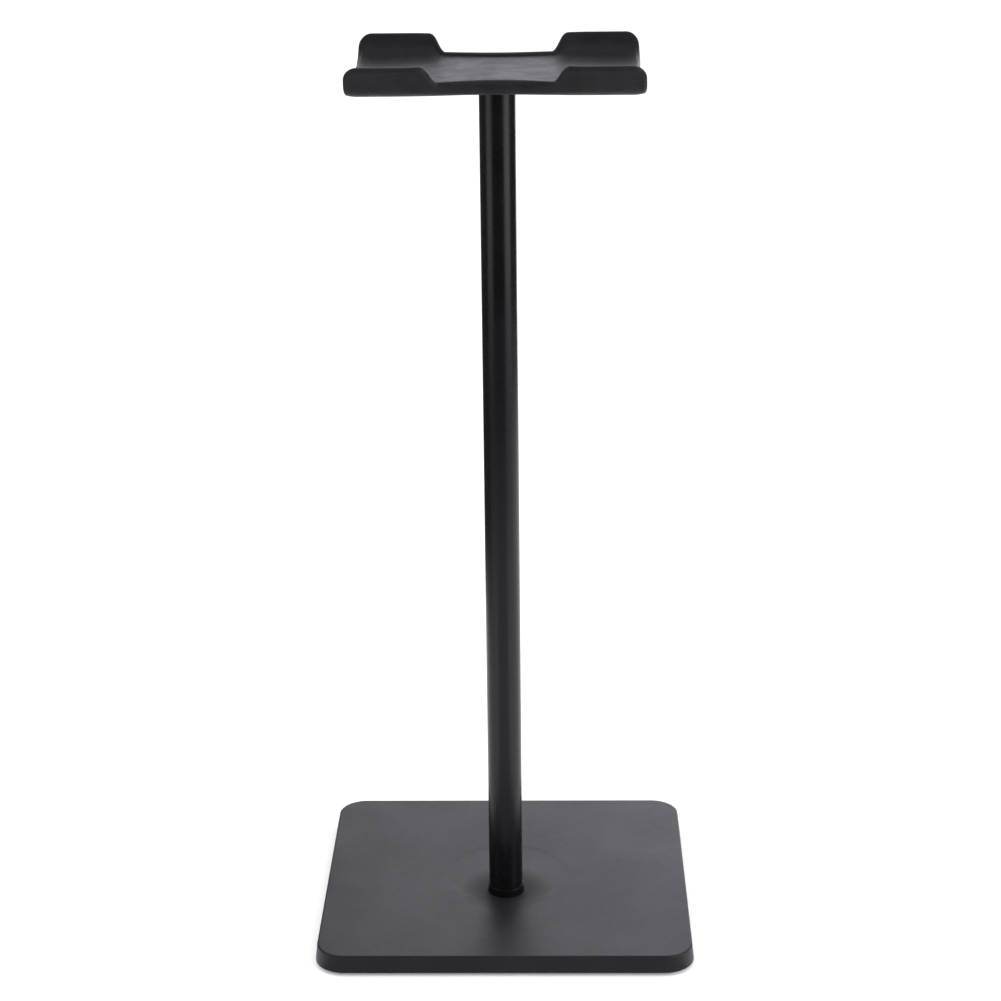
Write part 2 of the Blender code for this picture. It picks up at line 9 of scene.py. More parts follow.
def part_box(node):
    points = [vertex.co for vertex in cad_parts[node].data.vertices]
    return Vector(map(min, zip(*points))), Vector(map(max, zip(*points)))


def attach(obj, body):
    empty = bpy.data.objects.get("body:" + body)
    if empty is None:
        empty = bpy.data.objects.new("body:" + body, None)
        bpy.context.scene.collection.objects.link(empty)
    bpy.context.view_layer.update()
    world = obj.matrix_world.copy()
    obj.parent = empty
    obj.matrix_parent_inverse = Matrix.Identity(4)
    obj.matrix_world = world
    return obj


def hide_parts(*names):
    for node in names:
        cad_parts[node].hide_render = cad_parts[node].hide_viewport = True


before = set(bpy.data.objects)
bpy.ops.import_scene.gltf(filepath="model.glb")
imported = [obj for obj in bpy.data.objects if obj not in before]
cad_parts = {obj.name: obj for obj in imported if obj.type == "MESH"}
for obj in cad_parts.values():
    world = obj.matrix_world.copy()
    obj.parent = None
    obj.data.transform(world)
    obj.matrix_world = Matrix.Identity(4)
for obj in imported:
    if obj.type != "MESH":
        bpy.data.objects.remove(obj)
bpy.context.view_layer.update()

MM = 0.001
CAD_GAP = 0.3 * MM
MERGE_DISTANCE = 0.001 * MM
BODY = "root"
# Attribute for lighter convex edges: partly wear, partly a painted highlight along the edges.
EDGE_WEAR_AND_HIGHLIGHT = "edge_wear_and_highlight"

# Camera: place in metres, angles in radians
CAMERA_PLACE = (0.01332, -0.64687, 0.35781)
CAMERA_PITCH = 0.34204
CAMERA_YAW = -0.02146
CAMERA_ROLL = 0.01142
CAMERA_LENS = 85.37
CAMERA_SENSOR = 36.0

# Fineness
ROUND_STEPS = 144
SMALL_STEPS = 72
CORNER_STEPS = 20
SIDE_STEPS = 14
FILLET_STEPS = 7
SINK_STEPS = 12
SMOOTH_DEGREES = 40.0
FINE_EDGE = 0.1 * MM

# Base
COVER_DRAFT = 0.6 * MM
COVER_CORNER = 8.9 * MM
COVER_EDGE = 0.5 * MM
COVER_FOOT_EDGE = 0.2 * MM
COVER_WALL = 1.8 * MM
COVER_ROOF = 1.6 * MM
SINK_RADIUS = 18.0 * MM
SINK_WIDTH = 2.6 * MM
SINK_DEPTH = 0.06 * MM
TOP_SHARES = (0.3, 0.6, 0.85)
DISH_SHARES = (0.35, 0.7)
TOP_RIM = 4.0 * MM
EDGE_HOLD = 0.15 * MM
DISH_WIDTH = 5.0 * MM
DISH_DEPTH = 0.12 * MM
RIB_WALL = 1.2 * MM
SOCKET_DEPTH = 0.5 * MM
SOCKET_GAP = 0.06 * MM
SOCKET_EDGE = 0.15 * MM
BOSS_RADIUS = 3.0 * MM
PILOT_RADIUS = 1.3 * MM
BOLT_HOLE = 2.8 * MM
FLOOR_INSET = 0.12 * MM
FLOOR_EDGE = 0.15 * MM
FLOOR_RIM = 5.0 * MM
FLOOR_FOOT_TAPER = 0.1 * MM
FLOOR_TOP_TAPER = 0.2 * MM
HOLE_PLAY = 0.15 * MM
ACCESS_RADIUS = 7.3 * MM
PAD_SINK = 0.4 * MM
PAD_EDGE = 0.35 * MM
PAD_DISH = 0.12 * MM
PAD_DISH_OUTER = 1.9 * MM
PAD_DISH_INNER = 2.2 * MM
PAD_DISH_BLEND = 0.3 * MM

# Screws
SHANK_STEP = 0.1 * MM
SHANK_STEPS_MOST = 400
THREAD_FLANK = 1.25
TIP = 0.6 * MM
HEAD_EDGE = 0.12 * MM
SELF_TAP_NECK = 1.2 * MM
SELF_TAP_POINT = 0.3
SELF_TAP_CORE = 1.0 * MM
SELF_TAP_PITCH = 0.9 * MM
SELF_TAP_THREAD = 0.22 * MM

# Cross recess: height over the head's face, length and width of its arms
CROSS_LEVELS = (
    (-0.4 * MM, 2.9 * MM, 0.62 * MM),
    (0.0, 2.7 * MM, 0.58 * MM),
    (0.9 * MM, 1.2 * MM, 0.40 * MM),
)

# M5 screw, washer and stud
M5_CORE = 2.2 * MM
M5_PITCH = 0.8 * MM
M5_THREAD = 0.24 * MM
M5_HEAD_HEIGHT = 1.9 * MM
M5_HEAD_INSET = 0.4 * MM
M5_HEAD_ROUND = 0.6 * MM
M5_HEAD_SIDE = 1.2 * MM
M5_HEAD_EDGE = 0.3 * MM
M5_SOCKET = 1.8 * MM
M5_SOCKET_DEPTH = 1.2 * MM
M5_PLAIN_SHANK = 1.5 * MM
WASHER_PLAY = 0.4 * MM
STUD_FLANGE = 0.8 * MM
STUD_SPIGOT = 1.6 * MM
STUD_THREAD_RUNOUT = 0.4 * MM

# Pole
POLE_WALL = 1.0 * MM
POLE_END_ROUND = 0.15 * MM
COLLAR_EDGE = 0.3 * MM
SEAT = 0.04 * MM

# Cradle, measured up from its underside and out from the pole's axis
FLANGE_CORNER = 3.5 * MM
FLANGE_FOOT = 25.2 * MM
FLANGE_LEAN = 0.70
SHEET_HALF = 0.9 * MM
LIP_HEIGHT = 3.85 * MM
LIP_CROWN = 0.3 * MM
LIP_BROADEN = 1.3 * MM
STEP_START = 14.8 * MM
STEP_WIDTH = 4.8 * MM
STEP_TOE = 0.52
STEP_SHOULDER = 0.32
WAIST_HALF = 25.0 * MM
WAIST_IN = 1.9 * MM
WAIST_LEAN = 0.56
SADDLE_FLOOR = 2.1 * MM
SADDLE_CROWN = 1.05 * MM
CROWN_HALF = 36.0 * MM
END_HOLLOW = 0.8 * MM
END_TUCK = 0.4 * MM
END_LIFT = 0.35 * MM
INNER_BLEND = 9.0 * MM
INNER_CLIMB = 4.0 * MM
OUTER_BLEND = 2.6 * MM
OUTER_CLIMB = 2.2 * MM
CLIMB_SHARE = 0.8
SADDLE_SMOOTH_DEGREES = 60.0
POCKET_GAP = 0.2 * MM
CORE_CORNER = 6.0 * MM
CORE_HOLE = 1.9 * MM
CORE_EDGE = 0.15 * MM
CORE_RIM = 2.0 * MM
LIP_STEPS = 12
RISE_STEPS = 22
FLANGE_STEPS = 10
FLANGE_ROUND_STEPS = 12
SADDLE_FLOOR_STEPS = 12
BLEND_STEPS = 12
WALL_STEPS = 8
RIM_STEPS = 12

# Grain, specks, edge wear with a painted edge highlight, and scuffs
COARSE_GRAIN = 4.0
RING_DISTORTION = 0.6
SPECK_START = 0.58
SPECK_END = 0.72
# Lighter convex edges in the base colour: partly wear, partly a painted highlight.
WEAR_AND_HIGHLIGHT_ANGLE = math.radians(12.0)
WEAR_AND_HIGHLIGHT_START = 0.4
WEAR_AND_HIGHLIGHT_LEAST = 0.4
WEAR_AND_HIGHLIGHT_SHADE = 2.2
RUB_SIZE = 1.3 * MM
SCUFF_ROUGHNESS = 0.26
SCUFF_NEAR = 5.0 * MM
SCUFF_FAR = 14.0 * MM

# Studio: distances in metres, azimuths in degrees from the camera's side towards +X
GROUND_HALF = 6.0
GROUND_DROP = 0.05 * MM
GROUND_TONE = 0.92
GROUND_ROUGHNESS = 0.9
GROUND_GLOW = 0.12
WORLD_STRENGTH = 1.12
DOME_RADIUS = 7.0
DOME_TONE = 0.20
STUDIO_TINT = (0.91, 0.92, 1.0)
CARD_STEPS = 16
CARD_LIFT = 0.1 * MM

# Upright cards: name, azimuth, width in degrees, distance, bottom, top, tone
CARDS = (
    ("backdrop", 180.0, 150.0, 1.6, 0.0, 1.6, 1.90),
    ("bright_right", 160.0, 30.0, 0.55, 0.0, 0.42, 2.75),
    ("dark_front", 0.0, 76.0, 0.40, 0.0, 0.29, 0.02),
    ("dark_left", -113.0, 84.0, 0.25, 0.0, 0.32, 0.05),
    ("dark_right", 111.0, 70.0, 0.50, 0.0, 0.30, 0.06),
    ("low_left", -53.0, 36.0, 0.30, 0.0, 0.12, 0.22),
    ("low_right", 55.0, 40.0, 0.33, 0.0, 0.11, 0.60),
)

# Cards on the ground: name, azimuth, width in degrees, nearest, farthest, tone
GROUND_CARDS = (
    ("dim_ground_near", 0.0, 100.0, 0.052, 0.10, 0.48),
    ("dim_ground_far", 0.0, 66.0, 0.10, 0.40, 0.80),
    ("cool_ground_left", -85.0, 70.0, 0.062, 0.28, 1.20),
    ("cool_ground_right", 85.0, 70.0, 0.062, 0.28, 1.42),
)

# Lights: name, place, aim, size, power
LIGHTS = (
    ("key_right", (1.15, -0.66, 0.60), (0.0, 0.0, 0.15), (0.7, 0.9), 9.0),
    ("fill_left", (-1.15, -0.66, 0.60), (0.0, 0.0, 0.15), (0.6, 0.8), 3.0),
    ("top", (0.1, 0.2, 1.5), (0.0, 0.0, 0.0), (1.2, 1.2), 3.0),
)


# ---------------------------------------------------------------- mesh helpers


def rounded(corners, closed=True):
    """(across, up) points of a profile given as (across, up, rounding) corners."""
    points = []
    for index, (across, up, rounding) in enumerate(corners):
        here = Vector((across, up))
        at_end = not closed and index in (0, len(corners) - 1)
        if rounding == 0.0 or at_end:
            points.append(tuple(here))
            continue
        back = (Vector(corners[index - 1][:2]) - here).normalized()
        ahead = (Vector(corners[(index + 1) % len(corners)][:2]) - here).normalized()
        half = back.angle(ahead) / 2
        centre = here + (back + ahead).normalized() * (rounding / math.sin(half))
        start = here + back * (rounding / math.tan(half)) - centre
        end = here + ahead * (rounding / math.tan(half)) - centre
        first = math.atan2(start.y, start.x)
        sweep = math.remainder(math.atan2(end.y, end.x) - first, 2.0 * math.pi)
        for step in range(FILLET_STEPS + 1):
            angle = first + sweep * step / FILLET_STEPS
            points.append((
                centre.x + rounding * math.cos(angle), centre.y + rounding * math.sin(angle)))
    return points


def add_loft(bm, loops, closed):
    """Skin over loops with equal numbers of points, closed on itself or capped at both ends."""
    rings = [[bm.verts.new(point) for point in loop] for loop in loops]
    pairs = list(zip(rings, rings[1:]))
    if closed:
        pairs.append((rings[-1], rings[0]))
    for lower, upper in pairs:
        for index in range(len(lower)):
            ahead = (index + 1) % len(lower)
            bm.faces.new((lower[index], lower[ahead], upper[ahead], upper[index]))
    if not closed:
        bm.faces.new(rings[0])
        bm.faces.new(rings[-1])


def thread_height(height, turn, thread):
    """How far a (bottom, top, pitch, depth) thread stands out at a height and a share of a turn."""
    bottom, top, pitch, depth = thread
    phase = (height / pitch - turn) % 1.0
    ends = min((height - bottom) / pitch, (top - height) / pitch, 1.0)
    return depth * max(1.0 - abs(2.0 * phase - 1.0) * THREAD_FLANK, 0.0) * max(ends, 0.0)


def shank(radius, start, end):
    """Close-set corners up a shank, so that its thread has a shape."""
    heights = [start + SHANK_STEP * step for step in range(1, SHANK_STEPS_MOST)]
    return [(radius, height, 0.0) for height in heights if height < end]


def add_turned(bm, profile, steps, closed, thread):
    """Turned body round the Z axis; a profile that isn't closed starts and ends on the axis."""
    rings = []
    for radius, height in profile:
        if radius == 0.0:
            rings.append([bm.verts.new((0.0, 0.0, height))])
            continue
        ring = []
        for step in range(steps):
            turn = step / steps
            reach = radius
            if thread and thread[0] < height < thread[1]:
                reach += thread_height(height, turn, thread)
            angle = 2.0 * math.pi * turn
            ring.append(bm.verts.new((reach * math.cos(angle), reach * math.sin(angle), height)))
        rings.append(ring)
    pairs = list(zip(rings, rings[1:]))
    if closed:
        pairs.append((rings[-1], rings[0]))
    for lower, upper in pairs:
        for index in range(steps):
            ahead = (index + 1) % steps
            if len(lower) == 1:
                bm.faces.new((lower[0], upper[ahead], upper[index]))
            elif len(upper) == 1:
                bm.faces.new((lower[index], lower[ahead], upper[0]))
            else:
                bm.faces.new((lower[index], lower[ahead], upper[ahead], upper[index]))


def outline(half_x, half_y, radius):
    """Rectangle with round corners, anticlockwise, with points along its sides as well."""
    points = []
    for quarter, (side_x, side_y) in enumerate(((1, 1), (-1, 1), (-1, -1), (1, -1))):
        for step in range(CORNER_STEPS + 1):
            angle = 0.5 * math.pi * (quarter + step / CORNER_STEPS)
            points.append((
                side_x * (half_x - radius) + radius * math.cos(angle),
                side_y * (half_y - radius) + radius * math.sin(angle)))
        start = points[-1]
        after_x, after_y = ((-1, 1), (-1, -1), (1, -1), (1, 1))[quarter]
        next_angle = 0.5 * math.pi * (quarter + 1)
        end = (
            after_x * (half_x - radius) + radius * math.cos(next_angle),
            after_y * (half_y - radius) + radius * math.sin(next_angle))
        for step in range(1, SIDE_STEPS):
            share = step / SIDE_STEPS
            points.append(tuple(a + share * (b - a) for a, b in zip(start, end)))
    return points


def circle(like, radius, centre_y=0.0):
    """Circle whose points lie in the same directions as those of an outline."""
    angles = [math.atan2(y, x) for x, y in like]
    return [(radius * math.cos(a), centre_y + radius * math.sin(a)) for a in angles]


def smooth(share):
    """0 to 1 with level ends."""
    return share * share * (3.0 - 2.0 * share)


def round_rim(radius, centre):
    """Circle round an upright axis, for posts and holes."""
    turns = [2.0 * math.pi * step / SMALL_STEPS for step in range(SMALL_STEPS)]
    return [(centre.x + radius * math.cos(a), centre.y + radius * math.sin(a)) for a in turns]


def between(first, second, share):
    """Loop that lies a share of the way from one loop to another."""
    return [
        tuple(a + share * (b - a) for a, b in zip(start, end))
        for start, end in zip(first, second)]


def at_height(points, height):
    return [(x, y, height) for x, y in points]


def new_object(name, bm):
    """Object with its doubled points merged and its faces pointing outwards."""
    bmesh.ops.remove_doubles(bm, verts=bm.verts, dist=MERGE_DISTANCE)
    bmesh.ops.recalc_face_normals(bm, faces=bm.faces)
    mesh = bpy.data.meshes.new(name)
    bm.to_mesh(mesh)
    bm.free()
    made = bpy.data.objects.new(name, mesh)
    bpy.context.scene.collection.objects.link(made)
    return made


def carve(piece, bm, operation="DIFFERENCE"):
    """Cut a shape from a piece, or unite it with the piece, for good."""
    helper = new_object(piece.name + "_helper", bm)
    boolean = piece.modifiers.new("carve", "BOOLEAN")
    boolean.operation = operation
    boolean.solver = "EXACT"
    boolean.object = helper
    state = bpy.context.evaluated_depsgraph_get()
    finished = bpy.data.meshes.new_from_object(piece.evaluated_get(state))
    piece.modifiers.clear()
    piece.data = finished
    bpy.data.objects.remove(helper, do_unlink=True)


def mark_edges(mesh):
    """Store how strongly each point lies on a convex edge, for the materials' lighter edges: partly
    wear, partly a painted highlight.
    """
    bm = bmesh.new()
    bm.from_mesh(mesh)
    worn_and_lit = []
    for vert in bm.verts:
        angles = [edge.calc_face_angle_signed(0.0) for edge in vert.link_edges]
        worn_and_lit.append(min(max(max(angles) / WEAR_AND_HIGHLIGHT_ANGLE - WEAR_AND_HIGHLIGHT_START, 0.0), 1.0))
    bm.free()
    mesh.attributes.new(EDGE_WEAR_AND_HIGHLIGHT, "FLOAT", "POINT").data.foreach_set("value", worn_and_lit)


def dress(piece, material, node, smooth_degrees=SMOOTH_DEGREES):
    """Smooth a piece, give it its material, and let it stand for its CAD node."""
    mark_edges(piece.data)
    piece.data.shade_smooth()
    piece.data.set_sharp_from_angle(angle=math.radians(smooth_degrees))
    piece.data.materials.clear()
    piece.data.materials.append(material)
    weighted = piece.modifiers.new("weighted_normals", "WEIGHTED_NORMAL")
    weighted.keep_sharp = True
    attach(piece, BODY)
    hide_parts(node)


def turned_piece(name, profile, centre, steps=ROUND_STEPS, closed=True, thread=None):
    """Turned piece whose origin lies on its own axis."""
    bm = bmesh.new()
    add_turned(bm, profile, steps, closed, thread)
    piece = new_object(name, bm)
    piece.location = (centre.x, centre.y, 0.0)
    return piece


def middle(node):
    """Centre of a CAD node's box."""
    low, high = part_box(node)
    return (low + high) / 2


# ---------------------------------------------------------------- materials


def ranged(nodes, links, value, low, high, start=0.35, end=0.65):
    """Map a texture's middle values onto a range."""
    spread = nodes.new("ShaderNodeMapRange")
    spread.inputs["From Min"].default_value = start
    spread.inputs["From Max"].default_value = end
    spread.inputs["To Min"].default_value = low
    spread.inputs["To Max"].default_value = high
    links.new(value, spread.inputs["Value"])
    return spread.outputs["Result"]


def noise(nodes, links, coordinates, size, detail, stretch=(1.0, 1.0, 1.0)):
    """Noise whose blotches are about the given size, in metres."""
    if stretch != (1.0, 1.0, 1.0):
        mapping = nodes.new("ShaderNodeMapping")
        mapping.inputs["Scale"].default_value = stretch
        links.new(coordinates, mapping.inputs["Vector"])
        coordinates = mapping.outputs["Vector"]
    texture = nodes.new("ShaderNodeTexNoise")
    texture.inputs["Scale"].default_value = 1.0 / size
    texture.inputs["Detail"].default_value = detail
    links.new(coordinates, texture.inputs["Vector"])
    return texture.outputs["Fac"]


def mixed(nodes, links, share, first, second):
    """Mix of two colours, each a tuple or another node's output."""
    mix = nodes.new("ShaderNodeMix")
    mix.data_type = "RGBA"
    for socket, colour in ((mix.inputs["A"], first), (mix.inputs["B"], second)):
        if isinstance(colour, tuple):
            socket.default_value = (*colour, 1.0)
        else:
            links.new(colour, socket)
    links.new(share, mix.inputs["Factor"])
    return mix.outputs["Result"]


def scaled(colour, factor):
    return tuple(min(part * factor, 1.0) for part in colour)


def finish(
        name, colour, roughness, metallic=0.0, mottle=0.10, patch=14.0 * MM, uneven=0.05,
        grain=0.35 * MM, grain_depth=0.02 * MM, stretch=(1.0, 1.0, 1.0), speck=0.0,
        wear_and_highlight=0.0, rings=0.0, gloss=0.5, scuffed=None):
    """Principled material with patchy colour and roughness, a fine grain, specks and lighter edges,
    partly wear and partly a painted highlight.

    scuffed is a spot round which the surface is rougher.
    """
    material = bpy.data.materials.new(name)
    material.use_nodes = True
    nodes, links = material.node_tree.nodes, material.node_tree.links
    shader = nodes["Principled BSDF"]
    shader.inputs["Metallic"].default_value = metallic
    shader.inputs["Specular IOR Level"].default_value = gloss
    place = nodes.new("ShaderNodeTexCoord").outputs["Object"]

    patches = noise(nodes, links, place, patch, 3.0)
    fine = noise(nodes, links, place, grain, 2.0, stretch)
    tone = mixed(
        nodes, links, ranged(nodes, links, patches, 0.0, 1.0),
        scaled(colour, 1.0 - mottle), scaled(colour, 1.0 + mottle))
    if speck > 0.0:
        glints = ranged(nodes, links, fine, 0.0, 1.0, SPECK_START, SPECK_END)
        tone = mixed(nodes, links, glints, tone, scaled(colour, 1.0 + speck))
    # Convex edges lightened in the base colour: partly wear, partly a painted highlight along the
    # edges.
    if wear_and_highlight > 0.0:
        edges = nodes.new("ShaderNodeAttribute")
        edges.attribute_name = EDGE_WEAR_AND_HIGHLIGHT
        rubbed = noise(nodes, links, place, RUB_SIZE, 3.0)
        share = nodes.new("ShaderNodeMath")
        share.operation = "MULTIPLY"
        links.new(edges.outputs["Fac"], share.inputs[0])
        links.new(ranged(nodes, links, rubbed, WEAR_AND_HIGHLIGHT_LEAST * wear_and_highlight, wear_and_highlight), share.inputs[1])
        worn_and_lit = share.outputs[0]
        tone = mixed(nodes, links, worn_and_lit, tone, scaled(colour, WEAR_AND_HIGHLIGHT_SHADE))
    links.new(tone, shader.inputs["Base Color"])

    coarse = noise(nodes, links, place, COARSE_GRAIN * grain, 4.0, stretch)
    both = nodes.new("ShaderNodeMath")
    both.operation = "ADD"
    links.new(ranged(nodes, links, patches, roughness - uneven, roughness + uneven), both.inputs[0])
    links.new(ranged(nodes, links, coarse, -uneven / 2, uneven / 2), both.inputs[1])
    rough = both.outputs[0]
    if scuffed:
        away = nodes.new("ShaderNodeVectorMath")
        away.operation = "DISTANCE"
        away.inputs[1].default_value = scuffed
        links.new(place, away.inputs[0])
        rise = ranged(
            nodes, links, away.outputs["Value"], SCUFF_ROUGHNESS, 0.0, SCUFF_NEAR, SCUFF_FAR)
        scuff = nodes.new("ShaderNodeMath")
        scuff.operation = "ADD"
        links.new(rough, scuff.inputs[0])
        links.new(rise, scuff.inputs[1])
        rough = scuff.outputs[0]
    links.new(rough, shader.inputs["Roughness"])

    height = fine
    if rings > 0.0:
        wave = nodes.new("ShaderNodeTexWave")
        wave.wave_type = "RINGS"
        wave.rings_direction = "Z"
        wave.inputs["Scale"].default_value = 1.0 / rings
        wave.inputs["Distortion"].default_value = RING_DISTORTION
        links.new(place, wave.inputs["Vector"])
        height = wave.outputs["Fac"]
    bump = nodes.new("ShaderNodeBump")
    bump.inputs["Distance"].default_value = grain_depth
    bump.inputs["Strength"].default_value = 1.0
    links.new(height, bump.inputs["Height"])
    links.new(bump.outputs["Normal"], shader.inputs["Normal"])
    return material


def make_finishes():
    """The object's materials, by slot."""
    pole = middle("pole_tube")
    foot = (pole.x, pole.y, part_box("base_cover")[1].z)
    # The edge amounts lighten convex edges in the base colour: partly wear, partly a painted edge
    # highlight.
    return {
        "base_plastic": finish(
            "base_plastic", (0.0094, 0.0095, 0.0128), 0.43, mottle=0.08, patch=22.0 * MM,
            uneven=0.03, grain=0.45 * MM, grain_depth=0.022 * MM, wear_and_highlight=0.22, gloss=0.29,
            scuffed=foot),
        "floor_plastic": finish(
            "floor_plastic", (0.020, 0.020, 0.021), 0.58, grain=0.7 * MM, grain_depth=0.05 * MM,
            wear_and_highlight=0.3),
        "ballast_steel": finish(
            "ballast_steel", (0.45, 0.45, 0.44), 0.42, 1.0, mottle=0.12, patch=6.0 * MM,
            uneven=0.10, grain=0.25 * MM, grain_depth=0.008 * MM, stretch=(0.05, 1.0, 1.0)),
        "screw_steel": finish(
            "screw_steel", (0.38, 0.38, 0.39), 0.32, 1.0, mottle=0.10, patch=1.5 * MM,
            uneven=0.08, grain=0.12 * MM, grain_depth=0.004 * MM, rings=0.5 * MM, wear_and_highlight=0.5),
        "foot_rubber": finish(
            "foot_rubber", (0.016, 0.016, 0.016), 0.82, grain=0.3 * MM, grain_depth=0.04 * MM),
        "pole_anodised": finish(
            "pole_anodised", (0.0031, 0.0031, 0.0042), 0.28, mottle=0.25, patch=30.0 * MM,
            uneven=0.03, grain=0.30 * MM, grain_depth=0.0018 * MM, stretch=(1.0, 1.0, 0.30),
            speck=0.9, gloss=0.38),
        "collar_plastic": finish(
            "collar_plastic", (0.0030, 0.0030, 0.0031), 0.40, grain=0.3 * MM,
            grain_depth=0.006 * MM, wear_and_highlight=0.10, gloss=0.20),
        "plug_brass": finish(
            "plug_brass", (0.62, 0.47, 0.20), 0.30, 1.0, patch=3.0 * MM, uneven=0.08,
            grain=0.2 * MM, grain_depth=0.004 * MM, stretch=(1.0, 1.0, 12.0)),
        "core_steel": finish(
            "core_steel", (0.020, 0.020, 0.020), 0.42, patch=5.0 * MM, uneven=0.06,
            grain=0.9 * MM, grain_depth=0.02 * MM, wear_and_highlight=0.4),
        "saddle_rubber": finish(
            "saddle_rubber", (0.0092, 0.0092, 0.0114), 0.46, mottle=0.16, patch=6.0 * MM,
            uneven=0.04, grain=0.65 * MM, grain_depth=0.13 * MM, wear_and_highlight=0.30, gloss=0.165),
    }


# ---------------------------------------------------------------- base


def build_cover(finishes):
    """Moulded cover: drafted sides, round edges, a faint sink over the rib, ribs and bosses."""
    low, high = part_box("base_cover")
    pole = middle("pole_tube")
    collar_low, collar_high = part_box("foot_collar")
    floor_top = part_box("base_floor")[1].z
    half_x, half_y = high.x, high.y
    top, bottom = high.z, low.z
    roof = top - COVER_ROOF
    rib_bottom = floor_top + CAD_GAP
    socket = (collar_high.x - collar_low.x) / 2 + SOCKET_GAP
    reference = outline(half_x, half_y, COVER_CORNER)

    def ring(inset, height):
        return at_height(outline(half_x - inset, half_y - inset, COVER_CORNER - inset), height)

    def disc(radius, height, centre_y=0.0):
        return at_height(circle(reference, radius, centre_y), height)

    side = [
        (COVER_WALL, bottom, 0.0),
        (0.0, bottom, COVER_FOOT_EDGE),
        (COVER_DRAFT, top, COVER_EDGE),
        (COVER_DRAFT + TOP_RIM, top, 0.0),
    ]
    loops = [ring(inset, height) for inset, height in rounded(side, closed=False)]
    loops.insert(-1, ring(COVER_DRAFT + COVER_EDGE + EDGE_HOLD, top))
    sink_outer = SINK_RADIUS + SINK_WIDTH / 2
    sink_inner = SINK_RADIUS - SINK_WIDTH / 2
    edge, start = loops[-1], disc(sink_outer, top)
    loops += [between(edge, start, share) for share in TOP_SHARES]
    for step in range(SINK_STEPS + 1):
        share = step / SINK_STEPS
        radius = sink_outer + share * (sink_inner - sink_outer)
        loops.append(disc(radius, top - SINK_DEPTH * smooth(share)))
    level = top - SINK_DEPTH
    dish = []
    for step in range(SINK_STEPS + 1):
        share = step / SINK_STEPS
        dish.append(disc(
            socket + SOCKET_EDGE + DISH_WIDTH * (1.0 - share),
            level - DISH_DEPTH * smooth(share), pole.y))
    loops += [between(loops[-1], dish[0], share) for share in DISH_SHARES]
    loops += dish
    level -= DISH_DEPTH
    mouth = [
        (socket + SOCKET_EDGE, level, 0.0),
        (socket, level, SOCKET_EDGE),
        (socket, top - SOCKET_DEPTH, 0.0),
        (BOLT_HOLE, top - SOCKET_DEPTH, 0.0),
        (BOLT_HOLE, roof, 0.0),
    ]
    loops += [disc(radius, height, pole.y) for radius, height in rounded(mouth, closed=False)[1:]]
    rib_inner, rib_outer = SINK_RADIUS - RIB_WALL / 2, SINK_RADIUS + RIB_WALL / 2
    loops += [
        disc(rib_inner, roof), disc(rib_inner, rib_bottom),
        disc(rib_outer, rib_bottom), disc(rib_outer, roof),
        ring(COVER_DRAFT + COVER_WALL, roof),
    ]
    bm = bmesh.new()
    add_loft(bm, loops, closed=True)
    cover = new_object("cover_shell", bm)

    bosses = bmesh.new()
    pilots = bmesh.new()
    for number in (1, 2, 3, 4):
        spot = middle(f"base_screw_{number}")
        for target, radius, lower, upper in (
                (bosses, BOSS_RADIUS, rib_bottom, roof + COVER_ROOF / 2),
                (pilots, PILOT_RADIUS, rib_bottom - MM, roof + COVER_ROOF / 4)):
            rim = round_rim(radius, spot)
            add_loft(target, [at_height(rim, lower), at_height(rim, upper)], closed=False)
    carve(cover, bosses, "UNION")
    carve(cover, pilots)
    dress(cover, finishes["base_plastic"], "base_cover")


def build_floor_plate(finishes):
    """Closing plate with countersinks, recesses for the pads and an access hole."""
    low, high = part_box("base_floor")
    grow = CAD_GAP - FLOOR_INSET
    half_x, half_y = high.x + grow, high.y + grow
    corner = COVER_CORNER - COVER_WALL
    side = rounded([
        (FLOOR_RIM, low.z, 0.0), (FLOOR_FOOT_TAPER, low.z, FLOOR_EDGE),
        (FLOOR_TOP_TAPER, high.z, FLOOR_EDGE), (FLOOR_RIM, high.z, 0.0)], closed=False)
    bm = bmesh.new()
    add_loft(bm, [
        at_height(outline(half_x - inset, half_y - inset, corner - inset), height)
        for inset, height in side], closed=False)
    plate = new_object("floor_plate", bm)
    cuts = bmesh.new()
    for number in (1, 2, 3, 4):
        spot = middle(f"base_screw_{number}")
        screw_low, screw_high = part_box(f"base_screw_{number}")
        head = (screw_high.x - screw_low.x) / 2 + HOLE_PLAY
        levels = [
            (head, low.z - MM), (head, low.z), (PILOT_RADIUS, high.z), (PILOT_RADIUS, high.z + MM)]
        add_loft(cuts, [
            at_height(round_rim(radius, spot), height) for radius, height in levels],
            closed=False)
        pad = middle(f"foot_pad_{number}")
        pad_low, pad_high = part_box(f"foot_pad_{number}")
        recess = (pad_high.x - pad_low.x) / 2 + HOLE_PLAY
        rim = round_rim(recess, pad)
        add_loft(cuts, [
            at_height(rim, low.z - MM), at_height(rim, low.z + PAD_SINK)], closed=False)
    rim = round_rim(ACCESS_RADIUS, middle("pole_tube"))
    add_loft(cuts, [at_height(rim, low.z - MM), at_height(rim, high.z + MM)], closed=False)
    carve(plate, cuts)
    dress(plate, finishes["floor_plastic"], "base_floor")


def build_pads(finishes):
    """Rubber feet with a rounded rim and a shallow dish underneath."""
    for number in (1, 2, 3, 4):
        node = f"foot_pad_{number}"
        low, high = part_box(node)
        radius = (high.x - low.x) / 2
        profile = rounded([
            (0.0, low.z + PAD_DISH, 0.0),
            (radius - PAD_DISH_INNER, low.z + PAD_DISH, PAD_DISH_BLEND),
            (radius - PAD_DISH_OUTER, low.z, FINE_EDGE),
            (radius, low.z, PAD_EDGE),
            (radius, high.z, FINE_EDGE),
            (0.0, high.z, 0.0)], closed=False)
        piece = turned_piece(f"rubber_foot_{number}", profile, middle(node), SMALL_STEPS, False)
        dress(piece, finishes["foot_rubber"], node)


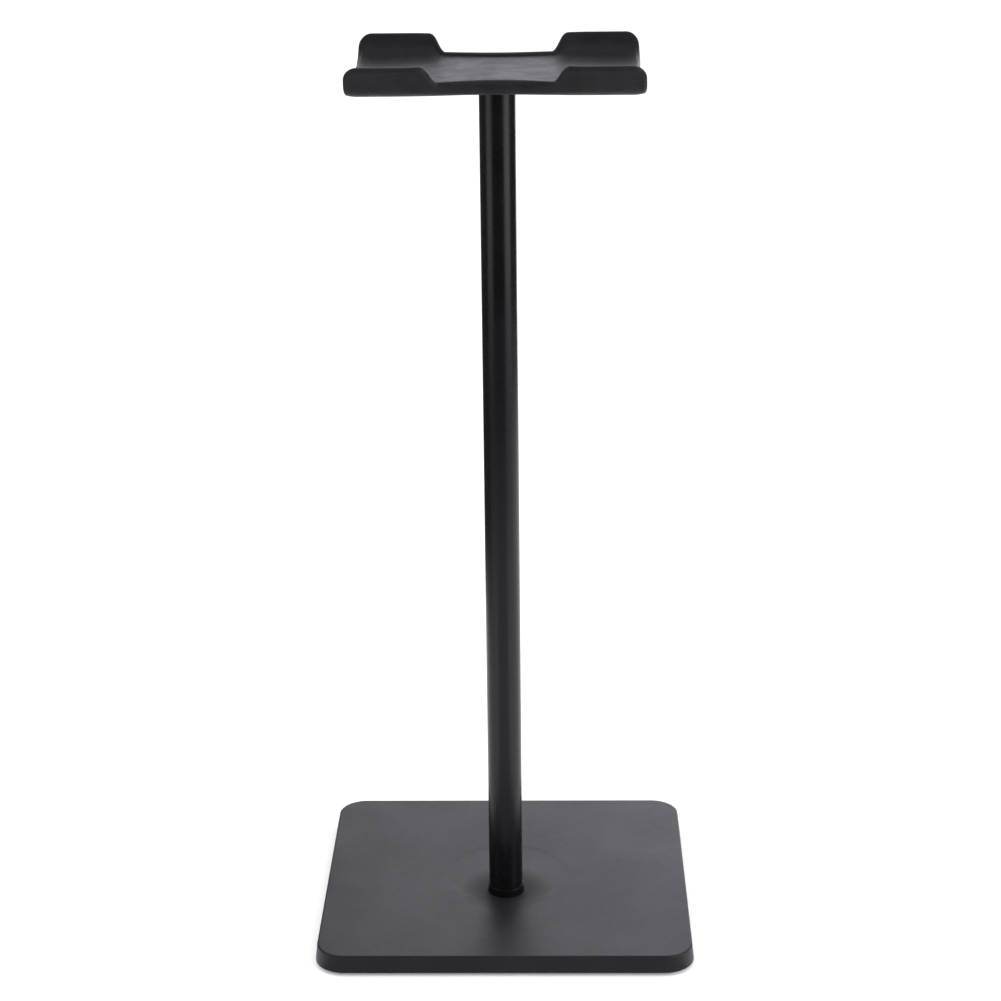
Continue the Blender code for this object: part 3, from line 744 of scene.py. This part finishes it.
def cross_cutter(low):
    """Tapered cross recess that opens downwards."""
    loops = []
    for height, length, width in CROSS_LEVELS:
        arm = [(length / 2, -width / 2), (length / 2, width / 2), (width / 2, width / 2)]
        loop = []
        for turn in (0.0, 0.5 * math.pi, math.pi, 1.5 * math.pi):
            cosine, sine = math.cos(turn), math.sin(turn)
            loop += [
                (x * cosine - y * sine, x * sine + y * cosine, low + height) for x, y in arm]
        loops.append(loop)
    bm = bmesh.new()
    add_loft(bm, loops, closed=False)
    return bm


def build_base_screws(finishes):
    """Countersunk self-tapping screws with a tapered cross recess and a coarse thread."""
    for number in (1, 2, 3, 4):
        node = f"base_screw_{number}"
        low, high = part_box(node)
        radius = (high.x - low.x) / 2
        neck = low.z + SELF_TAP_NECK
        thread_top = high.z - TIP
        profile = rounded([
            (0.0, low.z, 0.0), (radius, low.z, HEAD_EDGE), (SELF_TAP_CORE, neck, FINE_EDGE),
            *shank(SELF_TAP_CORE, neck, thread_top), (SELF_TAP_CORE, thread_top, 0.0),
            (SELF_TAP_POINT * SELF_TAP_CORE, high.z, 0.0), (0.0, high.z, 0.0)], closed=False)
        piece = turned_piece(
            f"cover_screw_{number}", profile, middle(node), SMALL_STEPS, False,
            (neck, high.z, SELF_TAP_PITCH, SELF_TAP_THREAD))
        cutter = cross_cutter(low.z)
        bmesh.ops.translate(cutter, verts=cutter.verts, vec=piece.location)
        carve(piece, cutter)
        dress(piece, finishes["screw_steel"], node)


def build_pole_screw(finishes):
    """Low-headed M5 screw with a hexagon socket and a fine thread."""
    low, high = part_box("pole_screw")
    radius = (high.x - low.x) / 2
    head_top = low.z + M5_HEAD_HEIGHT
    profile = rounded([
        (0.0, low.z, 0.0),
        (radius - M5_HEAD_INSET, low.z, M5_HEAD_ROUND),
        (radius, low.z + M5_HEAD_SIDE, M5_HEAD_EDGE),
        (radius, head_top, FINE_EDGE),
        (M5_CORE, head_top, 0.0),
        *shank(M5_CORE, head_top, high.z - TIP),
        (M5_CORE, high.z - TIP, 0.0),
        (M5_CORE - TIP, high.z, 0.0),
        (0.0, high.z, 0.0)], closed=False)
    piece = turned_piece(
        "pole_bolt", profile, middle("pole_screw"), SMALL_STEPS, False,
        (head_top + M5_PLAIN_SHANK, high.z, M5_PITCH, M5_THREAD))
    bm = bmesh.new()
    hexagon = [
        (M5_SOCKET * math.cos(math.pi * side / 3), M5_SOCKET * math.sin(math.pi * side / 3))
        for side in range(6)]
    add_loft(bm, [
        at_height(hexagon, low.z - MM),
        at_height(hexagon, low.z + M5_SOCKET_DEPTH)], closed=False)
    bmesh.ops.translate(bm, verts=bm.verts, vec=piece.location)
    carve(piece, bm)
    dress(piece, finishes["screw_steel"], "pole_screw")


def build_washer(finishes):
    """Flat washer with softened edges."""
    low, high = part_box("pole_washer")
    radius = (high.x - low.x) / 2
    inner = M5_CORE + WASHER_PLAY
    profile = rounded([
        (inner, low.z, HEAD_EDGE), (radius, low.z, HEAD_EDGE), (radius, high.z, HEAD_EDGE),
        (inner, high.z, HEAD_EDGE)])
    piece = turned_piece("bolt_washer", profile, middle("pole_washer"))
    dress(piece, finishes["screw_steel"], "pole_washer")


# ---------------------------------------------------------------- pole


def build_collar(finishes):
    """Seating ring with a rounded shoulder, let into the cover's socket."""
    low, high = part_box("foot_collar")
    radius = (high.x - low.x) / 2
    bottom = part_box("base_cover")[1].z - SOCKET_DEPTH + SEAT
    profile = rounded([
        (BOLT_HOLE, bottom, 0.0), (radius, bottom, FINE_EDGE), (radius, high.z, COLLAR_EDGE),
        (BOLT_HOLE, high.z, FINE_EDGE)])
    piece = turned_piece("seating_ring", profile, middle("foot_collar"))
    dress(piece, finishes["collar_plastic"], "foot_collar")


def build_pole(finishes):
    """Tube from the collar to the cradle, with softened ends."""
    low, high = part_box("pole_tube")
    radius = (high.x - low.x) / 2
    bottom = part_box("foot_collar")[1].z + SEAT
    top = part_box("cradle_saddle")[0].z - SEAT
    inner = radius - POLE_WALL
    corners = [
        (inner, bottom, 0.0), (radius, bottom, POLE_END_ROUND), (radius, top, POLE_END_ROUND),
        (inner, top, 0.0)]
    piece = turned_piece("pole_sleeve", rounded(corners), middle("pole_tube"))
    dress(piece, finishes["pole_anodised"], "pole_tube")


def build_stud(finishes):
    """Flanged stud with a fine thread, under the core plate."""
    low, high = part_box("cradle_stud")
    flange = (high.x - low.x) / 2
    flange_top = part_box("pole_tube")[1].z
    flange_bottom = flange_top - STUD_FLANGE
    profile = rounded([
        (0.0, low.z, 0.0),
        (M5_CORE - TIP, low.z, 0.0),
        (M5_CORE, low.z + TIP, 0.0),
        *shank(M5_CORE, low.z + TIP, flange_bottom),
        (M5_CORE, flange_bottom, 0.0),
        (flange, flange_bottom, FINE_EDGE),
        (flange, flange_top, FINE_EDGE),
        (STUD_SPIGOT, flange_top, 0.0),
        (STUD_SPIGOT, high.z, FINE_EDGE),
        (0.0, high.z, 0.0)], closed=False)
    piece = turned_piece(
        "threaded_stud", profile, middle("cradle_stud"), SMALL_STEPS, False,
        (low.z, flange_bottom - STUD_THREAD_RUNOUT, M5_PITCH, M5_THREAD))
    dress(piece, finishes["screw_steel"], "cradle_stud")


# ---------------------------------------------------------------- cradle


def ease_out(x, half):
    """1 at the cradle's middle, easing to 0 at a distance of half."""
    return math.cos(0.5 * math.pi * min(abs(x) / half, 1.0)) ** 2


def ease_step(x):
    """0 along the low lips and 1 along the flanges, with a rounded toe and shoulder."""
    steepness = 2.0 / (2.0 - STEP_TOE - STEP_SHOULDER)
    climb = min(max((abs(x) - STEP_START) / STEP_WIDTH, 0.0), 1.0)
    if climb < STEP_TOE:
        return steepness * climb ** 2 / (2.0 * STEP_TOE)
    if climb > 1.0 - STEP_SHOULDER:
        return 1.0 - steepness * (1.0 - climb) ** 2 / (2.0 * STEP_SHOULDER)
    return steepness * (climb - STEP_TOE / 2.0)


def curve_points(start, corner, end, steps):
    """Points of a quadratic curve, without its first one."""
    points = []
    for step in range(1, steps + 1):
        t = step / steps
        points.append(tuple(
            (1.0 - t) ** 2 * a + 2.0 * t * (1.0 - t) * b + t ** 2 * c
            for a, b, c in zip(start, corner, end)))
    return points


def edge_height(x, length, height):
    """Height at which the wall's flat sides end and its half-round rim begins."""
    lip = LIP_HEIGHT + LIP_CROWN * ease_out(x, WAIST_HALF)
    level = lip + (height - lip) * ease_step(x) - SHEET_HALF
    radius = FLANGE_CORNER - SHEET_HALF
    past_corner = abs(x) - (length - FLANGE_CORNER)
    if past_corner > 0.0:
        level = height - FLANGE_CORNER + math.sqrt(max(radius ** 2 - past_corner ** 2, 0.0))
    return level


def half_section(x, inner, length, height):
    """(outward, height) points of the saddle's upper or lower surface, from middle to rim."""
    lean = FLANGE_LEAN - WAIST_LEAN * ease_out(x, WAIST_HALF)
    foot = FLANGE_FOOT - WAIST_IN * ease_out(x, WAIST_HALF)
    tilt = math.atan(lean)
    if inner:
        level = SADDLE_FLOOR + SADDLE_CROWN * ease_out(x, CROWN_HALF)
        blend, climb, side = INNER_BLEND, INNER_CLIMB, -SHEET_HALF
        broaden = LIP_BROADEN * ease_out(x, WAIST_HALF)
    else:
        past_corner = max(abs(x) - (length - FLANGE_CORNER), 0.0)
        level = END_LIFT * (past_corner / (FLANGE_CORNER - SHEET_HALF)) ** 2
        blend, climb, side = OUTER_BLEND, OUTER_CLIMB, SHEET_HALF
        broaden = 0.0
    edge = edge_height(x, length, height)
    centre = foot - SHEET_HALF / math.cos(tilt) + lean * edge
    top = (centre - broaden + side * math.cos(tilt), edge - side * math.sin(tilt))
    corner = (top[0] - lean * (top[1] - level), level)
    climb = min(climb, CLIMB_SHARE * (top[1] - level))
    wall_start = (corner[0] + lean * climb, level + climb)
    floor_end = corner[0] - blend
    points = [
        (floor_end * step / SADDLE_FLOOR_STEPS, level) for step in range(SADDLE_FLOOR_STEPS + 1)]
    points += curve_points(points[-1], corner, wall_start, BLEND_STEPS)
    for step in range(1, WALL_STEPS + 1):
        t = step / WALL_STEPS
        points.append(tuple(a + t * (b - a) for a, b in zip(wall_start, top)))
    return points


def saddle_stations(length):
    """Distances along the cradle at which its section is drawn, from middle to end."""
    corner_start = length - FLANGE_CORNER
    radius = FLANGE_CORNER - SHEET_HALF
    step_end = STEP_START + STEP_WIDTH
    lip = [STEP_START * index / LIP_STEPS for index in range(LIP_STEPS)]
    rise = [STEP_START + STEP_WIDTH * index / RISE_STEPS for index in range(RISE_STEPS)]
    flange = [
        step_end + (corner_start - step_end) * index / FLANGE_STEPS
        for index in range(FLANGE_STEPS)]
    corner = [
        corner_start + radius * math.sin(0.5 * math.pi * index / FLANGE_ROUND_STEPS)
        for index in range(FLANGE_ROUND_STEPS + 1)]
    return lip + rise + flange + corner


def saddle_grid(inner, length, height):
    """Rows of points over one surface of the saddle, from end to end and rim to rim."""
    stations = saddle_stations(length)
    reach = stations[-1]
    rows = []
    for x in [-x for x in reversed(stations[1:])] + stations:
        row = []
        for outward, up in half_section(x, inner, length, height):
            hollow = END_HOLLOW * ease_out(outward, FLANGE_FOOT)
            tuck = END_TUCK * max(up - SADDLE_FLOOR, 0.0) / (height - SADDLE_FLOOR)
            row.append((x * (1.0 - (hollow + tuck) / reach), outward, up))
        mirrored = [(along, -outward, up) for along, outward, up in reversed(row[1:])]
        rows.append(mirrored + row)
    return rows


def rim_loop(sheet):
    """The vertices round the border of a grid, in order."""
    front = [row[0] for row in sheet]
    back = [row[-1] for row in reversed(sheet)]
    return front + sheet[-1][1:-1] + back + list(reversed(sheet[0][1:-1]))


def join_rims(bm, upper, lower):
    """Close the saddle's edge with a half-round strip between its two surfaces."""
    count = len(upper)
    spots = [((a.co + b.co) / 2, (a.co - b.co) / 2) for a, b in zip(upper, lower)]
    strips = [upper]
    for step in range(1, RIM_STEPS):
        angle = math.pi * step / RIM_STEPS
        strip = []
        for index, (centre, half) in enumerate(spots):
            tangent = spots[(index + 1) % count][0] - spots[index - 1][0]
            outward = tangent.cross(half).normalized() * min(half.length, SHEET_HALF)
            strip.append(bm.verts.new(
                centre + half * math.cos(angle) + outward * math.sin(angle)))
        strips.append(strip)
    strips.append(lower)
    for strip, following in zip(strips, strips[1:]):
        for index in range(count):
            ahead = (index + 1) % count
            bm.faces.new((strip[index], strip[ahead], following[ahead], following[index]))


def build_saddle(finishes):
    """Soft trough with four leaning flanges, low lips and a pocket underneath for its core."""
    low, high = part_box("cradle_saddle")
    centre = middle("cradle_saddle")
    core_low, core_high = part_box("cradle_core")
    length, height = (high.x - low.x) / 2, high.z - low.z
    bm = bmesh.new()
    sheets = []
    for inner in (True, False):
        sheets.append([
            [bm.verts.new((centre.x + x, centre.y + y, low.z + z)) for x, y, z in row]
            for row in saddle_grid(inner, length, height)])
    for sheet in sheets:
        for row, following in zip(sheet, sheet[1:]):
            for index in range(len(row) - 1):
                bm.faces.new((
                    row[index], row[index + 1], following[index + 1], following[index]))
    join_rims(bm, rim_loop(sheets[0]), rim_loop(sheets[1]))
    saddle = new_object("saddle_skin", bm)

    pocket = bmesh.new()
    half_x = (core_high.x - core_low.x) / 2 + POCKET_GAP
    half_y = (core_high.y - core_low.y) / 2 + POCKET_GAP
    rim = outline(half_x, half_y, CORE_CORNER + POCKET_GAP)
    rim = [(centre.x + x, centre.y + y) for x, y in rim]
    add_loft(pocket, [
        at_height(rim, low.z - MM), at_height(rim, core_high.z + POCKET_GAP)], closed=False)
    carve(saddle, pocket)
    dress(
        saddle, finishes["saddle_rubber"], "cradle_saddle", SADDLE_SMOOTH_DEGREES)


def build_core(finishes):
    """Stiff plate with softened edges and a hole for the stud."""
    low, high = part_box("cradle_core")
    centre = middle("cradle_core")
    half_x, half_y = (high.x - low.x) / 2, (high.y - low.y) / 2
    reference = outline(half_x, half_y, CORE_CORNER)
    side = rounded([
        (CORE_RIM, low.z, 0.0), (0.0, low.z, CORE_EDGE), (0.0, high.z, CORE_EDGE),
        (CORE_RIM, high.z, 0.0)], closed=False)
    loops = [
        at_height(outline(half_x - inset, half_y - inset, CORE_CORNER - inset), up)
        for inset, up in side]
    hole = circle(reference, CORE_HOLE)
    loops += [at_height(hole, high.z), at_height(hole, low.z)]
    bm = bmesh.new()
    add_loft(bm, loops, closed=True)
    bmesh.ops.translate(bm, verts=bm.verts, vec=(centre.x, centre.y, 0.0))
    core = new_object("core_plate", bm)
    dress(core, finishes["core_steel"], "cradle_core")


def paint_hidden_nodes(finishes):
    """Materials for the CAD nodes that stay as they are, inside the base and the tube."""
    for node, slot in (
            ("ballast_plate", "ballast_steel"), ("pole_bottom_plug", "plug_brass"),
            ("pole_top_plug", "plug_brass")):
        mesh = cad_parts[node].data
        mesh.materials.clear()
        mesh.materials.append(finishes[slot])


# ---------------------------------------------------------------- studio


def build_ground():
    """Plain pale floor under the stand, far larger than the view."""
    material = bpy.data.materials.new("pale_ground")
    material.use_nodes = True
    shader = material.node_tree.nodes["Principled BSDF"]
    shader.inputs["Base Color"].default_value = (GROUND_TONE, GROUND_TONE, GROUND_TONE, 1.0)
    shader.inputs["Roughness"].default_value = GROUND_ROUGHNESS
    shader.inputs["Specular IOR Level"].default_value = 0.0
    shader.inputs["Emission Color"].default_value = (1.0, 1.0, 1.0, 1.0)
    shader.inputs["Emission Strength"].default_value = GROUND_GLOW
    bm = bmesh.new()
    bmesh.ops.create_grid(bm, x_segments=8, y_segments=8, size=GROUND_HALF)
    ground = new_object("ground", bm)
    ground.location = (0.0, 0.0, -GROUND_DROP)
    ground.data.materials.append(material)


def glow_material(name, tone):
    """Plain glow in the studio's slightly cool tint."""
    material = bpy.data.materials.new(name)
    material.use_nodes = True
    nodes = material.node_tree.nodes
    nodes.clear()
    glow = nodes.new("ShaderNodeEmission")
    glow.inputs["Color"].default_value = (*STUDIO_TINT, 1.0)
    glow.inputs["Strength"].default_value = tone
    output = nodes.new("ShaderNodeOutputMaterial")
    material.node_tree.links.new(glow.outputs["Emission"], output.inputs["Surface"])
    return material


def arc(azimuth, width, distance, height):
    """Points of a level arc round the stand's origin."""
    angles = [
        math.radians(azimuth + width * (step / CARD_STEPS - 0.5)) for step in range(CARD_STEPS + 1)]
    return [(distance * math.sin(a), -distance * math.cos(a), height) for a in angles]


def build_card(name, first, last, tone):
    """Card between two arcs: a lighter or darker side of the studio, as the gloss sees it."""
    bm = bmesh.new()
    rows = [[bm.verts.new(point) for point in row] for row in (first, last)]
    for index in range(CARD_STEPS):
        bm.faces.new((rows[0][index], rows[0][index + 1], rows[1][index + 1], rows[1][index]))
    show_to_gloss_only(new_object(name, bm), glow_material(name, tone))


def build_dome():
    """Dim surround of the gloss, so that dark surfaces don't shine on every side."""
    bm = bmesh.new()
    bmesh.ops.create_icosphere(bm, subdivisions=4, radius=DOME_RADIUS)
    show_to_gloss_only(new_object("gloss_dome", bm), glow_material("gloss_dome", DOME_TONE))


def show_to_gloss_only(card, material):
    """Hide a glowing card from everything but reflections."""
    card.data.materials.append(material)
    card.visible_camera = False
    card.visible_diffuse = False
    card.visible_shadow = False
    card.visible_transmission = False


def build_light(name, place, aim, size, power):
    """Soft rectangular light."""
    data = bpy.data.lights.new(name, "AREA")
    data.shape = "RECTANGLE"
    data.size, data.size_y = size
    data.energy = power
    light = bpy.data.objects.new(name, data)
    light.location = place
    direction = Vector(aim) - Vector(place)
    light.rotation_euler = direction.to_track_quat("-Z", "Y").to_euler()
    light.visible_camera = False
    bpy.context.scene.collection.objects.link(light)


def build_world():
    """Even white surroundings."""
    world = bpy.data.worlds.new("studio")
    world.use_nodes = True
    background = world.node_tree.nodes["Background"]
    background.inputs["Color"].default_value = (1.0, 1.0, 1.0, 1.0)
    background.inputs["Strength"].default_value = WORLD_STRENGTH
    bpy.context.scene.world = world


def build_camera():
    """Camera at the view's place, looking along its pitch and yaw and rolled a little."""
    pitch, yaw, roll = CAMERA_PITCH, CAMERA_YAW, CAMERA_ROLL
    forward = Vector((
        math.sin(yaw) * math.cos(pitch), math.cos(yaw) * math.cos(pitch), -math.sin(pitch)))
    right = Vector((math.cos(yaw), -math.sin(yaw), 0.0))
    down = forward.cross(right)
    right, down = (
        right * math.cos(roll) + down * math.sin(roll),
        down * math.cos(roll) - right * math.sin(roll))
    turn = Matrix((right, -down, -forward)).transposed().to_4x4()
    data = bpy.data.cameras.new("camera")
    data.sensor_width = CAMERA_SENSOR
    data.lens = CAMERA_LENS
    camera = bpy.data.objects.new("camera", data)
    camera.matrix_world = Matrix.Translation(CAMERA_PLACE) @ turn
    bpy.context.scene.collection.objects.link(camera)
    bpy.context.scene.camera = camera


def build_studio():
    """Floor, reflected cards, lights, surroundings and camera."""
    build_ground()
    build_dome()
    for name, azimuth, width, distance, bottom, top, tone in CARDS:
        build_card(
            name, arc(azimuth, width, distance, bottom), arc(azimuth, width, distance, top), tone)
    for name, azimuth, width, near, far, tone in GROUND_CARDS:
        build_card(
            name, arc(azimuth, width, near, CARD_LIFT), arc(azimuth, width, far, CARD_LIFT), tone)
    for light in LIGHTS:
        build_light(*light)
    build_world()
    build_camera()
    bpy.context.scene.view_settings.view_transform = "Standard"


def build_scene():
    finishes = make_finishes()
    build_cover(finishes)
    build_floor_plate(finishes)
    build_pads(finishes)
    build_base_screws(finishes)
    build_pole_screw(finishes)
    build_washer(finishes)
    build_collar(finishes)
    build_pole(finishes)
    build_stud(finishes)
    build_saddle(finishes)
    build_core(finishes)
    paint_hidden_nodes(finishes)
    build_studio()


build_scene()
